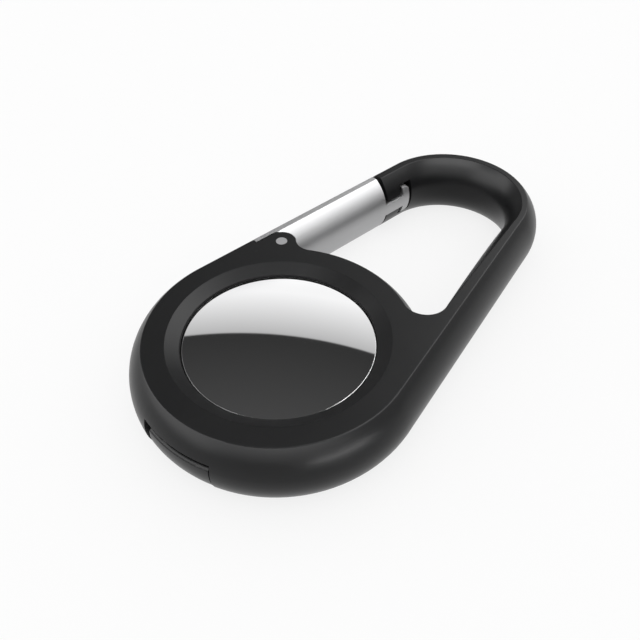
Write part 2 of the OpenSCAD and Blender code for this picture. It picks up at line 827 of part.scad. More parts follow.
module accelerometer() {
  color("#3a3a3e") on_board(sensor_place, sensor_size, sensor_t);
}

module capacitors() {
  color("#b08d5b") for (a = capacitor_turns) on_board([a, capacitor_dist], capacitor_size, sensor_t);
}

module crystal() {
  color("#b5b8bb") on_board(crystal_place, crystal_size, sensor_t);
}

module sounder_magnet() {
  color("#77797c") at_tag() translate([0, 0, tray_base - cup_wall - magnet_h]) {
    cylinder(h = magnet_h, r = magnet_r);
  }
}

module sounder_cup() {
  color("#8f9194") at_tag() translate([0, 0, tray_base - cup_h]) difference() {
    cylinder(h = cup_h, r = cup_r);
    translate([0, 0, -over]) cylinder(h = cup_h - cup_wall + over, r = cup_r - cup_wall);
  }
}

module voice_coil() {
  color("#b0622f") at_tag() translate([0, 0, coil_land_z]) difference() {
    cylinder(h = sound_coil_h, r = coil_out_r);
    translate([0, 0, -over]) cylinder(h = sound_coil_h + 2 * over, r = coil_in_r);
  }
}

// A metal film on the outside of the carrier's wall
module film(from, sweep) {
  at_tag() rotate([0, 0, from]) rotate_extrude(angle = sweep) {
    translate([tray_out_r, tray_floor]) square([film_t, film_h]);
  }
}

module ranging_antenna() {
  color("#c9a35a") film(95, 110);
}

module short_range_antenna() {
  color("#c9a35a") film(-60, 120);
}

module near_field_coil() {
  color("#b0622f") at_tag() translate([0, 0, loop_land_z]) difference() {
    cylinder(h = film_t, r = loop_out_r);
    translate([0, 0, -over]) cylinder(h = film_t + 2 * over, r = loop_in_r);
  }
}

body_frame();
back_ring();
gate();
gate_pin();
gate_spring();
tag_shell();
battery_door();
inner_frame();
cell_can();
cell_cap();
cell_gasket();
side_contacts();
centre_contact();
circuit_board();
radio_chip();
ranging_module();
memory_chip();
accelerometer();
capacitors();
crystal();
sounder_magnet();
sounder_cup();
voice_coil();
ranging_antenna();
short_range_antenna();
near_field_coil();
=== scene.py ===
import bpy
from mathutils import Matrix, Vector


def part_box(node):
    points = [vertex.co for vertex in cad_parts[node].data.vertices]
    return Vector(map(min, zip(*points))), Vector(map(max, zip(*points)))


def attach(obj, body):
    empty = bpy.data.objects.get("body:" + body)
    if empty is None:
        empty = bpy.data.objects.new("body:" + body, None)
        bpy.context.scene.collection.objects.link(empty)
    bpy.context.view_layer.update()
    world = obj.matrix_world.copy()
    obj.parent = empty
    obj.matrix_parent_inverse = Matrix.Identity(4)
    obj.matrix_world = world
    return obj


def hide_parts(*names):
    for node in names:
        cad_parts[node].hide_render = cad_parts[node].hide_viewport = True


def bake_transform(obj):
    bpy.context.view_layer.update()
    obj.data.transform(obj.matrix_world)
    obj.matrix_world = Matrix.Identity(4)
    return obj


bl_info = {
    "name": "Tracker tag holder",
    "version": (1, 0, 0),
    "blender": (4, 5, 0),
    "location": "3D View > Sidebar > Tag Holder",
    "description": "Dresses the carabiner holder and its tag: plastic, metal gate, steel door and inner parts",
    "category": "Object",
}

import math

import bmesh
import bpy
from bpy.props import FloatProperty, FloatVectorProperty, PointerProperty
from mathutils import Matrix, Vector

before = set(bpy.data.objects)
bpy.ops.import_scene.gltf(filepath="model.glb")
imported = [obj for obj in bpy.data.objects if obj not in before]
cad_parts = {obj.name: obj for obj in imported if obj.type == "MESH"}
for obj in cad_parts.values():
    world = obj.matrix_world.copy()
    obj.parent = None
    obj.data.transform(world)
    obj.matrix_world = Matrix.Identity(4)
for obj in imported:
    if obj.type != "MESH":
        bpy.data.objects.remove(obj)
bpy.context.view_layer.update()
MM = 0.001


def upright(node):
    """Where the upright line through a CAD node's middle stands."""
    low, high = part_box(node)
    return 0.5 * (low.x + high.x), 0.5 * (low.y + high.y)


# The tag's middle, and the round window in the body that shows its steel door
TAG_X, TAG_Y = upright("circuit_board")
WINDOW_RADIUS = 13.1 * MM
WINDOW_FOOT = 8.0 * MM

# The steel door: its radius, how far its face swells at the middle, the rounding of its rim, the thickness of its
# sheet and the depth of its skirt
DOOR_LOW, DOOR_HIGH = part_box("battery_door")
DOOR_RADIUS = 12.9 * MM
DOOR_RISE = 0.2 * MM
DOOR_RIM = 0.05 * MM
DOOR_SHEET = 0.4 * MM
DOOR_SKIRT = 1.5 * MM

# Half the thickness of the gate spring's wire
SPRING_WIRE = 0.17 * MM

# The two windings: each one's name and CAD node, its layers, the turns in a layer, how much wider each layer is than
# the one inside it, and the straight steps in a turn
WINDINGS = (
    ("sounder_winding", "voice_coil", 5, 9, 0.14 * MM, 48),
    ("reading_winding", "near_field_coil", 15, 1, 0.12 * MM, 96),
)

# The panels round the object that show in its reflections: where each one's middle stands to the right of
# straight behind it, half its width, its lower and its upper edge and the blur of its edges, in degrees, and its
# brightness
PANELS = (
    (180.0, 50.0, 13.0, 36.0, 8.0, 2.4),
    (-176.0, 57.0, 38.0, 66.0, 7.0, 7.2),
    (140.0, 20.0, -8.0, 3.0, 5.0, 27.0),
    (52.0, 44.0, 25.0, 68.0, 8.0, 3.2),
    (43.0, 24.0, 38.0, 68.0, 6.0, 5.0),
    (-100.0, 38.0, 6.0, 42.0, 6.0, 3.9),
    (-92.0, 32.0, 22.0, 42.0, 6.0, 5.2),
    (-82.0, 40.0, 46.0, 66.0, 6.0, 0.20),
    (-34.0, 27.0, -4.0, 58.0, 6.0, 0.40),
    (0.0, 24.0, -6.0, 35.0, 4.0, 0.14),
)

# Brightness of the room's walls at the horizon, and of the white wall and the dark flag at the flag's foot, each
# with its change for a degree upwards
ROOM_SHADE = (0.40, 0.020)
WALL_SHADE = (0.50, -0.088)
FLAG_SHADE = (0.033, 0.0028)

# Where the edges of the white wall and of the flag before it start and end, in degrees
WALL_FOOT = (36.0, 40.0)
WALL_TOP = (56.0, 60.0)
WALL_SIDE = (18.0, 24.0)
FLAG_FOOT = (-0.12, 0.12)
FLAG_TOP = (56.5, 62.0)
FLAG_SIDE = (19.0, 25.0)
ZENITH_EDGE = (68.0, 84.0)

# The floor lies just under the holder, and the key light stands over it to the front right
FLOOR_HEIGHT = -0.02 * MM
KEY_PLACE = (0.10, -0.12, 0.9)
KEY_SIZE = 0.5
SENSOR_WIDTH = 36.0


# ---------------------------------------------------------------- shader maths

class Wire:
    """A node's output that can be added, multiplied and compared like a number."""

    def __init__(self, paint, socket):
        self.paint = paint
        self.socket = socket

    def _maths(self, operation, *values):
        return self.paint.node("ShaderNodeMath", {"operation": operation}, dict(enumerate(values)))

    def __add__(self, other):
        return self._maths("ADD", self, other)

    def __radd__(self, other):
        return self._maths("ADD", other, self)

    def __sub__(self, other):
        return self._maths("SUBTRACT", self, other)

    def __rsub__(self, other):
        return self._maths("SUBTRACT", other, self)

    def __mul__(self, other):
        return self._maths("MULTIPLY", self, other)

    def __rmul__(self, other):
        return self._maths("MULTIPLY", other, self)

    def __truediv__(self, other):
        return self._maths("DIVIDE", self, other)

    def __rtruediv__(self, other):
        return self._maths("DIVIDE", other, self)

    def clamped(self):
        return self._maths("MINIMUM", self._maths("MAXIMUM", self, 0.0), 1.0)

    def root(self):
        return self._maths("SQRT", self)

    def sine(self):
        return self._maths("SINE", self)

    def cosine(self):
        return self._maths("COSINE", self)

    def floor(self):
        return self._maths("FLOOR", self)

    def bounce(self, top):
        """Runs up to top and back down again, over and over."""
        return self._maths("PINGPONG", self, top)

    def magnitude(self):
        return self._maths("ABSOLUTE", self)

    def wrapped(self, low, high):
        """Brought into the range from low to high, as an angle is."""
        return self._maths("WRAP", self, high, low)

    def at_least(self, other):
        return self._maths("MAXIMUM", self, other)

    def at_most(self, other):
        return self._maths("MINIMUM", self, other)

    def step(self, low, high):
        """0 below low, 1 above high, and a smooth rise between them."""
        return self.paint.node(
            "ShaderNodeMapRange", {"interpolation_type": "SMOOTHSTEP"},
            {"Value": self, "From Min": low, "From Max": high, "To Min": 0.0, "To Max": 1.0}, "Result")


class Paint:
    """One material and the nodes in it."""

    def __init__(self, name, **constants):
        self.material = bpy.data.materials.new(name)
        self.material.use_nodes = True
        self.tree = self.material.node_tree
        self.shader = self.tree.nodes["Principled BSDF"]
        for socket, value in constants.items():
            self.shader.inputs[socket.replace("_", " ").title().replace("Ior", "IOR")].default_value = value

    def node(self, kind, settings=None, inputs=None, output=0):
        made = self.tree.nodes.new(kind)
        for key, value in (settings or {}).items():
            setattr(made, key, value)
        for key, value in (inputs or {}).items():
            if isinstance(value, Wire):
                self.tree.links.new(value.socket, made.inputs[key])
            else:
                made.inputs[key].default_value = value
        return Wire(self, made.outputs[output])

    def place(self):
        return self.node("ShaderNodeTexCoord", output="Object")

    def axes(self, place):
        made = self.node("ShaderNodeSeparateXYZ", inputs={0: place}).socket.node
        return [Wire(self, socket) for socket in made.outputs]

    def noise(self, place, size_mm, detail=2.0, rough=0.5, stretch=(1.0, 1.0, 1.0), turn=0.0):
        """Noise from 0 to 1 whose grain is about size_mm, stretched along the axes and turned about the upright."""
        where = self.node(
            "ShaderNodeMapping", {"vector_type": "POINT"},
            {0: place, "Rotation": (0.0, 0.0, turn), "Scale": tuple(1.0 / (size_mm * MM * s) for s in stretch)})
        return self.node("ShaderNodeTexNoise", None,
                         {"Vector": where, "Scale": 1.0, "Detail": detail, "Roughness": rough}, "Fac")

    def mix(self, amount, first, second):
        return self.node("ShaderNodeMix", {"data_type": "RGBA"}, {0: amount, 6: first, 7: second}, 2)

    def bump(self, height, strength, depth_mm, before=None):
        inputs = {"Height": height, "Strength": strength, "Distance": depth_mm * MM}
        if before is not None:
            inputs["Normal"] = before
        return self.node("ShaderNodeBump", None, inputs)

    def soft_edges(self, radius_mm):
        """Normals that run round a sharp edge, as on a moulded or tumbled one."""
        return self.node("ShaderNodeBevel", {"samples": 6}, {"Radius": radius_mm * MM})

    def feed(self, socket, wire):
        self.tree.links.new(wire.socket, self.shader.inputs[socket])

    def radius(self, place, x, y):
        """How far a point stands from an upright axis, in metres."""
        along = self.axes(place)
        dx = along[0] - x
        dy = along[1] - y
        return (dx * dx + dy * dy).root()


class Sky(Paint):
    """The world's nodes, with the same maths as a material's."""

    def __init__(self, world):
        self.tree = world.node_tree
        self.tree.nodes.clear()
        self.out = self.tree.nodes.new("ShaderNodeOutputWorld")
        self.back = self.tree.nodes.new("ShaderNodeBackground")
        self.back.inputs["Color"].default_value = (1.0, 1.0, 1.0, 1.0)
        self.tree.links.new(self.back.outputs[0], self.out.inputs["Surface"])

    def light(self, strength):
        self.tree.links.new(strength.socket, self.back.inputs["Strength"])


class Recipe(Paint):
    """A Geometry Nodes tree with named inputs, that ends in Realize Instances and Set Material."""

    KINDS = {float: "NodeSocketFloat", int: "NodeSocketInt", "material": "NodeSocketMaterial"}

    def __init__(self, name, **sizes):
        self.tree = bpy.data.node_groups.new(name, "GeometryNodeTree")
        self.tree.interface.new_socket("Geometry", in_out="INPUT", socket_type="NodeSocketGeometry")
        self.tree.interface.new_socket("Geometry", in_out="OUTPUT", socket_type="NodeSocketGeometry")
        self.values = {}
        for key, value in sizes.items():
            title = key.replace("_", " ").title()
            kind = "material" if isinstance(value, bpy.types.Material) else type(value)
            made = self.tree.interface.new_socket(title, in_out="INPUT", socket_type=self.KINDS[kind])
            self.values[made.identifier] = value
        self.given = self.tree.nodes.new("NodeGroupInput")

    def input(self, key):
        return Wire(self, self.given.outputs[key.replace("_", " ").title()])

    def index(self):
        return self.node("GeometryNodeInputIndex")

    def at(self, x, y, z):
        return self.node("ShaderNodeCombineXYZ", None, {0: x, 1: y, 2: z})

    def line(self, count):
        """A chain of points, which a rule then puts in their places."""
        return self.node("GeometryNodeMeshLine", {"mode": "OFFSET", "count_mode": "TOTAL"},
                         {"Count": count, "Offset": (0.0, 0.0, MM)})

    def moved(self, geometry, position):
        return self.node("GeometryNodeSetPosition", None, {"Geometry": geometry, "Position": position})

    def wire_along(self, chain, radius, sides):
        """A round wire with closed ends along a chain of points."""
        path = self.node("GeometryNodeMeshToCurve", None, {"Mesh": chain})
        ring = self.node("GeometryNodeCurvePrimitiveCircle", {"mode": "RADIUS"},
                         {"Resolution": sides, "Radius": radius})
        tube = self.node("GeometryNodeCurveToMesh", None, {"Curve": path, "Profile Curve": ring, "Fill Caps": True})
        return self.node("GeometryNodeSetShadeSmooth", None, {"Geometry": tube, "Shade Smooth": True})

    def joined(self, *parts):
        made = self.tree.nodes.new("GeometryNodeJoinGeometry")
        for part in parts:
            self.tree.links.new(part.socket, made.inputs[0])
        return Wire(self, made.outputs[0])

    def build(self, name, shape, source=None):
        """Ends the tree, runs it and returns the result as a plain mesh object at the origin."""
        real = self.node("GeometryNodeRealizeInstances", None, {"Geometry": shape})
        painted = self.node("GeometryNodeSetMaterial", None, {"Geometry": real, "Material": self.input("material")})
        out = self.tree.nodes.new("NodeGroupOutput")
        self.tree.links.new(painted.socket, out.inputs["Geometry"])
        piece = bpy.data.objects.new(name, source or bpy.data.meshes.new(name + "_source"))
        bpy.context.scene.collection.objects.link(piece)
        modifier = piece.modifiers.new(self.tree.name, "NODES")
        modifier.node_group = self.tree
        for identifier, value in self.values.items():
            modifier[identifier] = value
        bpy.context.view_layer.update()
        evaluated = piece.evaluated_get(bpy.context.evaluated_depsgraph_get())
        mesh = bpy.data.meshes.new_from_object(evaluated)
        mesh.name = name
        piece.modifiers.clear()
        piece.data = mesh
        return piece


def rgba(colour, factor=1.0):
    return (colour[0] * factor, colour[1] * factor, colour[2] * factor, 1.0)


# ------------------------------------------------------------------- materials

def satin_plastic(name, colour, roughness, grain_mm, grain_depth):
    """Moulded plastic with a fine spark-eroded grain and faint handling marks, left matt on the window's wall, where
    a darker colour is painted shade in the recess.
    """
    paint = Paint(name, specular_ior_level=0.20)
    place = paint.place()
    cloud = paint.noise(place, 9.0, detail=3.0)
    rub = paint.noise(place, 2.6, detail=5.0, rough=0.62, stretch=(1.0, 2.4, 1.0), turn=0.5)
    grain = paint.noise(place, grain_mm, detail=2.0)
    off_wall = (paint.radius(place, TAG_X, TAG_Y) - WINDOW_RADIUS).magnitude()
    upper = paint.axes(place)[2].step(WINDOW_FOOT, WINDOW_FOOT + 0.1 * MM)
    wall = (1.0 - off_wall.step(0.05 * MM, 0.12 * MM)) * upper
    # The window's wall gets a darker colour, which is painted shade in the recess; its matt roughness is the real
    # finish
    wall_painted_shade, wall_roughness = rgba(colour, 0.4), 0.9
    skin = paint.mix(cloud * 0.6 + rub * 0.4, rgba(colour, 0.88), rgba(colour, 1.14))
    satin = roughness - 0.05 + rub * 0.07 + cloud * 0.04
    paint.feed("Base Color", paint.mix(wall, skin, wall_painted_shade))
    paint.feed("Roughness", satin * (1.0 - wall) + wall * wall_roughness)
    paint.feed("Normal", paint.bump(grain, 0.35, grain_depth, paint.soft_edges(0.08)))
    return paint.material


def gate_metal(name, colour, roughness):
    """Cast metal with a bead-blasted, satin-plated skin."""
    paint = Paint(name, metallic=1.0)
    place = paint.place()
    grain = paint.noise(place, 0.14, detail=2.0)
    cloud = paint.noise(place, 5.0, detail=3.0)
    scuff = paint.noise(place, 1.1, detail=6.0, rough=0.7, stretch=(0.5, 5.0, 1.0), turn=-0.14)
    paint.feed("Base Color", paint.mix(cloud, rgba(colour, 0.96), rgba(colour, 1.03)))
    paint.feed("Roughness", roughness - 0.03 + scuff * 0.06 + cloud * 0.02)
    paint.feed("Normal", paint.bump(grain, 0.10, 0.004))
    return paint.material


def polished_steel(name, colour, roughness):
    """Mirror-polished stainless steel with hair lines that only catch the light."""
    paint = Paint(name, metallic=1.0)
    place = paint.place()
    cloud = paint.noise(place, 6.0, detail=2.0)
    hair = paint.noise(place, 0.5, detail=4.0, rough=0.7, stretch=(0.12, 8.0, 1.0), turn=0.9)
    paint.feed("Base Color", paint.mix(cloud, rgba(colour, 0.985), rgba(colour, 1.0)))
    paint.feed("Roughness", roughness + hair.step(0.62, 0.80) * 0.03)
    paint.feed("Normal", paint.bump(hair, 0.02, 0.001))
    return paint.material


def turned_steel(name, colour, x, y):
    """Steel rod whose end shows the rings of the lathe."""
    paint = Paint(name, metallic=1.0)
    place = paint.place()
    far = paint.radius(place, x, y)
    rings = (far * (2.0 * math.pi / (0.16 * MM))).sine() * 0.5 + 0.5
    cloud = paint.noise(place, 1.5, detail=3.0)
    paint.feed("Base Color", paint.mix(cloud, rgba(colour, 0.92), rgba(colour, 1.05)))
    paint.feed("Roughness", 0.24 + cloud * 0.10)
    paint.feed("Normal", paint.bump(rings, 0.25, 0.006))
    return paint.material


def drawn_steel(name, colour, roughness=0.28):
    """Pressed or drawn sheet steel with a nickel plating."""
    paint = Paint(name, metallic=1.0)
    place = paint.place()
    cloud = paint.noise(place, 3.0, detail=4.0)
    grain = paint.noise(place, 0.25, detail=3.0, stretch=(0.3, 3.0, 1.0))
    paint.feed("Base Color", paint.mix(cloud, rgba(colour, 0.93), rgba(colour, 1.05)))
    paint.feed("Roughness", roughness - 0.04 + cloud * 0.08)
    paint.feed("Normal", paint.bump(grain, 0.15, 0.003))
    return paint.material


def gloss_shell(name, colour, roughness):
    """White gloss plastic with a faint ripple from the mould, and a dark ring of painted shade in the gap round the
    steel door.
    """
    paint = Paint(name, coat_weight=0.25, coat_roughness=0.08)
    place = paint.place()
    ripple = paint.noise(place, 6.0, detail=2.0)
    speck = paint.noise(place, 0.35, detail=2.0)
    far = paint.radius(place, TAG_X, TAG_Y)
    # A dark ring of painted shade in the gap between the shell and the steel door
    line = (far.step(12.4 * MM, 12.5 * MM) * (1.0 - far.step(13.15 * MM, 13.3 * MM))
            * paint.axes(place)[2].step(DOOR_HIGH.z - 1.0 * MM, DOOR_HIGH.z - 0.9 * MM))
    white = paint.mix(ripple, rgba(colour, 0.975), rgba(colour, 1.0))
    paint.feed("Base Color", paint.mix(line, white, rgba(colour, 0.02)))
    paint.feed("Roughness", roughness + speck * 0.05)
    paint.feed("Normal", paint.bump(ripple, 0.06, 0.01))
    return paint.material


def moulded(name, colour, roughness=0.5, grain_mm=0.3):
    """Plain moulded plastic or ceramic for the inner parts."""
    paint = Paint(name)
    place = paint.place()
    cloud = paint.noise(place, 2.2, detail=3.0)
    grain = paint.noise(place, grain_mm, detail=2.0)
    paint.feed("Base Color", paint.mix(cloud, rgba(colour, 0.86), rgba(colour, 1.12)))
    paint.feed("Roughness", roughness - 0.05 + grain * 0.1)
    paint.feed("Normal", paint.bump(grain, 0.2, 0.006))
    return paint.material


def board_mask(name, colour):
    """Solder mask over copper tracks that run round the board."""
    paint = Paint(name, coat_weight=0.2)
    place = paint.place()
    far = paint.radius(place, TAG_X, TAG_Y)
    lanes = (far * (2.0 * math.pi / (1.1 * MM))).sine().step(0.25, 0.45)
    breaks = paint.noise(place, 3.4, detail=1.0).step(0.46, 0.50)
    track = lanes * breaks
    cloud = paint.noise(place, 5.0, detail=2.0)
    mask = paint.mix(cloud, rgba(colour, 0.9), rgba(colour, 1.1))
    paint.feed("Base Color", paint.mix(track, mask, rgba(colour, 1.9)))
    paint.feed("Roughness", 0.34 + cloud * 0.08)
    paint.feed("Normal", paint.bump(track, 0.3, 0.02))
    return paint.material


def wound_copper(name, colour):
    """Enamelled copper wire."""
    paint = Paint(name, metallic=1.0, coat_weight=0.4, coat_roughness=0.12)
    place = paint.place()
    cloud = paint.noise(place, 1.4, detail=3.0)
    grain = paint.noise(place, 0.12, detail=2.0)
    paint.feed("Base Color", paint.mix(cloud, rgba(colour, 0.85), rgba(colour, 1.1)))
    paint.feed("Roughness", 0.26 + cloud * 0.1)
    paint.feed("Normal", paint.bump(grain, 0.1, 0.003))
    return paint.material


# ------------------------------------------------------------------ mesh tools

def dress(node, material):
    """Gives a CAD node its finish, and leaves its shape alone."""
    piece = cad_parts[node]
    piece.data.materials.clear()
    piece.data.materials.append(material)
    return piece


def outward(piece):
    """Turns a closed shape's faces to point outwards."""
    shape = bmesh.new()
    shape.from_mesh(piece.data)
    bmesh.ops.recalc_face_normals(shape, faces=shape.faces)
    shape.to_mesh(piece.data)
    shape.free()


def smooth_by_angle(piece, degrees):
    """Shades a piece smooth and leaves edges over that angle sharp."""
    mesh = piece.data
    shape = bmesh.new()
    shape.from_mesh(mesh)
    limit = math.radians(degrees)
    for edge in shape.edges:
        edge.smooth = len(edge.link_faces) == 2 and edge.calc_face_angle(math.pi) < limit
    for face in shape.faces:
        face.smooth = True
    shape.to_mesh(mesh)
    shape.free()


# -------------------------------------------------------------- shapes by rule

def torsion_spring(material, pin, low, high, wire):
    """The gate's spring: a leg on the gate, the turns up round the pin, and a leg in the body."""
    tree = Recipe("torsion_spring", coil_radius=1.3 * MM, wire_radius=wire, rise=high - low - 2.0 * wire,
                  turn=math.radians(1120.6), start=math.radians(-8.123), leg=2.6 * MM, steps=288, sides=12,
                  pin_x=pin[0], pin_y=pin[1], foot=low + wire, material=material)
    steps = tree.input("steps")
    share = ((tree.index() - 1.0) / steps).clamped()
    angle = tree.input("start") - share * tree.input("turn")
    # The first point runs out along the gate and the last one into the body, both off the coil's tangent
    leg = tree.input("leg") * ((1.0 - tree.index()).at_least(0.0) - (tree.index() - steps - 1.0).at_least(0.0))
    x = tree.input("coil_radius") * angle.cosine() - leg * angle.sine()
    y = tree.input("coil_radius") * angle.sine() + leg * angle.cosine()
    place = tree.at(tree.input("pin_x") + x, tree.input("pin_y") + y, tree.input("foot") + share * tree.input("rise"))
    chain = tree.moved(tree.line(steps + 3.0), place)
    return tree.build("torsion_spring", tree.wire_along(chain, tree.input("wire_radius"), tree.input("sides")))


def winding(material, name, node, layers, turns_in_layer, layer_step, steps_a_turn):
    """One unbroken wire, wound up and down in layers from the inside out, in the room of a CAD coil."""
    low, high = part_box(node)
    x, y = upright(node)
    tree = Recipe(name, outer_radius=0.5 * (high.x - low.x), layers=layers, turns_in_a_layer=turns_in_layer,
                  steps_a_turn=steps_a_turn, wire=(high.z - low.z) / turns_in_layer, layer_step=layer_step,
                  foot=low.z, x=x, y=y, material=material)
    wire = tree.input("wire")
    turns = tree.input("layers") * tree.input("turns_in_a_layer")
    count = turns * tree.input("steps_a_turn")
    done = tree.index() / tree.input("steps_a_turn")
    inner = tree.input("outer_radius") - tree.input("layers") * tree.input("layer_step") + wire * 0.5
    far = inner + (done / tree.input("turns_in_a_layer")) * tree.input("layer_step")
    far = far.at_most(tree.input("outer_radius") - wire * 0.5)
    rise = done.bounce(tree.input("turns_in_a_layer")) * wire * (1.0 - 1.0 / turns_in_layer) + wire * 0.5
    angle = done * (2.0 * math.pi)
    place = tree.at(tree.input("x") + far * angle.cosine(), tree.input("y") + far * angle.sine(),
                    tree.input("foot") + rise)
    chain = tree.moved(tree.line(count), place)
    # The copper is a little thinner than its room, because enamel keeps the turns apart
    copper_radius = wire * 0.47
    return tree.build(name, tree.wire_along(chain, copper_radius, 6))


def door_profile(top):
    """The pressed door in section, from the middle of its face round the rim to the middle of its back."""
    face_rows, rim_rows, chamfer = 24, 8, 0.08 * MM
    # The last rows of the face stand close together, so that smooth shading doesn't spread the rim over the face
    shares = [row / face_rows for row in range(face_rows)] + [0.985, 0.995, 0.998, 1.0]
    flat = 1.0 - DOOR_RIM / DOOR_RADIUS
    points = [(DOOR_RADIUS * share * flat, top - DOOR_RISE * (share * flat) ** 2) for share in shares]
    lean = math.atan(2.0 * DOOR_RISE / DOOR_RADIUS)
    last = points[-1]
    centre = (last[0] - DOOR_RIM * math.sin(lean), last[1] - DOOR_RIM * math.cos(lean))
    reach = DOOR_RADIUS - centre[0]
    for row in range(1, rim_rows + 1):
        turn = lean + (0.5 * math.pi - lean) * row / rim_rows
        points.append((centre[0] + reach * math.sin(turn), centre[1] + DOOR_RIM * math.cos(turn)))
    edge = top - DOOR_RISE
    foot = edge - DOOR_SKIRT
    inner = DOOR_RADIUS - DOOR_SHEET
    points += [(DOOR_RADIUS, foot + chamfer), (DOOR_RADIUS - chamfer, foot), (inner, foot),
               (inner, edge - DOOR_SHEET), (0.0, edge - DOOR_SHEET)]
    return points


def steel_door(material, segments=224):
    """The battery door: a spun steel sheet with a rolled rim and three bayonet tabs under it."""
    profile = door_profile(DOOR_HIGH.z)
    source = bpy.data.meshes.new("door_profile")
    source.from_pydata([(x, 0.0, z) for x, z in profile], [(i, i + 1) for i in range(len(profile) - 1)], [])
    tree = Recipe("steel_door", segments=segments, profile_points=len(profile), x=TAG_X, y=TAG_Y,
                  tab_radius=12.7 * MM, tab_reach=0.8 * MM, tab_height=0.6 * MM, tab_foot=DOOR_LOW.z,
                  tab_sweep=math.radians(18.0), tab_count=3, first_tab=math.radians(40.0), material=material)
    rows = tree.input("profile_points")
    grid = tree.node("GeometryNodeMeshGrid", None, {"Vertices X": tree.input("segments") + 1.0, "Vertices Y": rows})
    column = ((tree.index() + 0.5) / rows).floor()
    row = tree.index() - column * rows
    spot = tree.node("GeometryNodeSampleIndex", {"data_type": "FLOAT_VECTOR", "domain": "POINT"},
                     {"Geometry": Wire(tree, tree.given.outputs["Geometry"]),
                      "Value": tree.node("GeometryNodeInputPosition"), "Index": row})
    far, _, up = tree.axes(spot)
    angle = column / tree.input("segments") * (2.0 * math.pi)
    sheet = tree.moved(grid, tree.at(tree.input("x") + far * angle.cosine(),
                                     tree.input("y") + far * angle.sine(), up))
    sheet = tree.node("GeometryNodeMergeByDistance", {"mode": "ALL"}, {"Geometry": sheet, "Distance": 0.002 * MM})
    # One tab is a block bent round the rim's inside, and the others are turned copies of it
    block = tree.node("GeometryNodeMeshCube", None,
                      {"Size": (1.0, 1.0, 1.0), "Vertices X": 2, "Vertices Y": 13, "Vertices Z": 2})
    along = tree.axes(tree.node("GeometryNodeInputPosition"))
    tab_far = tree.input("tab_radius") + (along[0] + 0.5) * tree.input("tab_reach")
    tab_angle = tree.input("first_tab") + (along[1] + 0.5) * tree.input("tab_sweep")
    tab = tree.moved(block, tree.at(tab_far * tab_angle.cosine(), tab_far * tab_angle.sine(),
                                    tree.input("tab_foot") + (along[2] + 0.5) * tree.input("tab_height")))
    spots = tree.moved(tree.line(tree.input("tab_count")), tree.at(tree.input("x"), tree.input("y"), 0.0))
    turn = tree.at(0.0, 0.0, tree.index() / tree.input("tab_count") * (2.0 * math.pi))
    tabs = tree.node("GeometryNodeInstanceOnPoints", None, {"Points": spots, "Instance": tab, "Rotation": turn})
    return tree.build("steel_door", tree.joined(sheet, tabs), source)


# ------------------------------------------------------------------ properties

def colour_property(name, description, default):
    return FloatVectorProperty(name=name, description=description, default=default,
                               subtype="COLOR", size=3, min=0.0, max=1.0)


class HolderSettings(bpy.types.PropertyGroup):
    plastic: colour_property("Plastic", "Colour of the moulded body and the back ring", (0.0085, 0.0086, 0.0090))
    plastic_roughness: FloatProperty(name="Satin", description="Roughness of the body's skin",
                                     default=0.31, min=0.1, max=0.9)
    grain: FloatProperty(name="Grain", description="Size of the mould's grain in millimetres",
                         default=0.22, min=0.05, max=1.0)
    grain_depth: FloatProperty(name="Grain depth", description="Depth of the grain in millimetres",
                               default=0.008, min=0.0, max=0.05)


class GateSettings(bpy.types.PropertyGroup):
    metal: colour_property("Metal", "Colour of the gate's metal", (0.42, 0.42, 0.425))
    metal_roughness: FloatProperty(name="Satin", description="Roughness of the gate's skin",
                                   default=0.42, min=0.05, max=0.8)
    pin: colour_property("Pin", "Colour of the pin's steel", (0.60, 0.60, 0.61))
    spring: colour_property("Spring", "Colour of the spring wire", (0.48, 0.48, 0.50))


class TagSettings(bpy.types.PropertyGroup):
    door: colour_property("Door", "Colour of the polished steel door", (0.93, 0.93, 0.935))
    door_roughness: FloatProperty(name="Polish", description="Roughness of the door's face",
                                  default=0.02, min=0.0, max=0.5)
    shell: colour_property("Shell", "Colour of the gloss shell", (0.80, 0.80, 0.80))
    shell_roughness: FloatProperty(name="Gloss", description="Roughness of the shell",
                                   default=0.14, min=0.02, max=0.6)
    board: colour_property("Board", "Colour of the solder mask", (0.012, 0.075, 0.048))
    copper: colour_property("Copper", "Colour of the windings", (0.80, 0.38, 0.18))
    gold: colour_property("Gold", "Colour of the plated contacts and films", (0.83, 0.62, 0.27))


